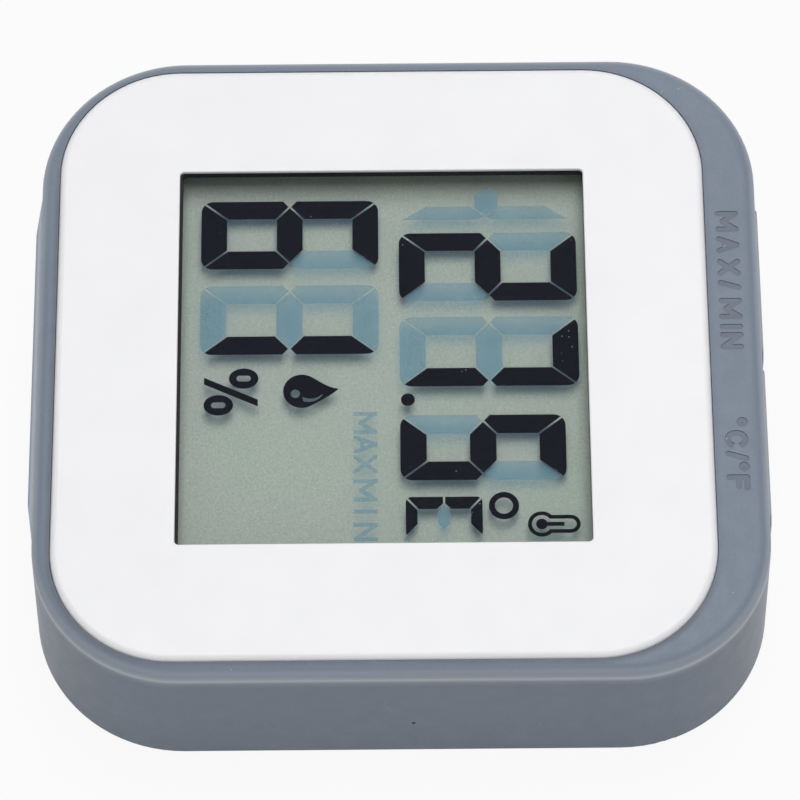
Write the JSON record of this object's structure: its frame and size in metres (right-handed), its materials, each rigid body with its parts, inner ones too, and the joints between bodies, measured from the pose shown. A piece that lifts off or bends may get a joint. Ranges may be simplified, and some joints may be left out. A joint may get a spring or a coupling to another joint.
{
  "type": "temperature and humidity sensor",
  "caption": "Pocket room thermometer and hygrometer: white case with a square display in a rounded grey silicone sleeve, with button pads on its top edge.",
  "frame": {"origin": "middle of the sleeve's footprint, on its back face, which rests on the table", "axes": "+Z out of the display, +Y to the top of the display, where the button pads are, +X along the reading direction"},
  "size_m": [0.058, 0.0611, 0.0151],
  "materials": {
    "grey_silicone": "matte moulded silicone",
    "white_plastic": "fine satin, moulded",
    "black_plastic": "moulded",
    "switch_plastic": "moulded",
    "spring_steel": "bright",
    "black_foam": "matte",
    "polariser_film": "clear film, satin",
    "display_glass": "clear",
    "lit_figure": "dark liquid crystal",
    "idle_figure": "pale liquid crystal",
    "seal_resin": "cured resin",
    "reflector_film": "fine grained grey green",
    "zebra_rubber": "layered",
    "board_laminate": "green solder mask",
    "black_resin": "cast resin",
    "ceramic": "fired ceramic",
    "nickel_can": "plated",
    "sensor_ceramic": "coated ceramic",
    "screw_steel": "zinc plated",
    "cell_steel": "plated",
    "contact_metal": "nickel plated spring strip"
  },
  "bodies": {
    "housing": {"silicone_sleeve": "grey_silicone", "front_case": "white_plastic", "back_case": "white_plastic", "range_switch_body": "switch_plastic", "unit_switch_body": "switch_plastic", "range_switch_dome": "spring_steel", "unit_switch_dome": "spring_steel", "display_gasket": "black_foam", "display_front_polariser": "polariser_film", "display_front_glass": "display_glass", "display_rear_glass": "display_glass", "display_lit_figures": "lit_figure", "display_idle_figures": "idle_figure", "display_edge_seal": "seal_resin", "display_reflector": "reflector_film", "zebra_strip": "zebra_rubber", "foam_strip": "black_foam", "circuit_board": "board_laminate", "chip_blob": "black_resin", "small_board_parts": "ceramic", "clock_crystal": "nickel_can", "humidity_sensor": "sensor_ceramic", "thermistor": "black_resin", "board_screws": "screw_steel", "case_screws": "screw_steel", "coin_cell": "cell_steel", "positive_contact": "contact_metal", "negative_contact": "contact_metal"},
    "range_button": {"range_button_pad": "grey_silicone", "range_button_key": "white_plastic", "range_switch_plunger": "black_plastic"},
    "unit_button": {"unit_button_pad": "grey_silicone", "unit_button_key": "white_plastic", "unit_switch_plunger": "black_plastic"},
    "door": {"battery_door": "white_plastic"}
  },
  "joints": [
    {"name": "range_button_press", "type": "slide", "parent": "housing", "child": "range_button", "axis": [0, -1, 0], "range_m": [0, 0.0003], "stiffness_N_per_m": 2000},
    {"name": "unit_button_press", "type": "slide", "parent": "housing", "child": "unit_button", "axis": [0, -1, 0], "range_m": [0, 0.0003], "stiffness_N_per_m": 2000},
    {"name": "door_turn", "type": "hinge", "parent": "housing", "child": "door", "pos_m": [0, -0.005, 0], "axis": [0, 0, -1], "range_deg": [0, 35]}
  ]
}
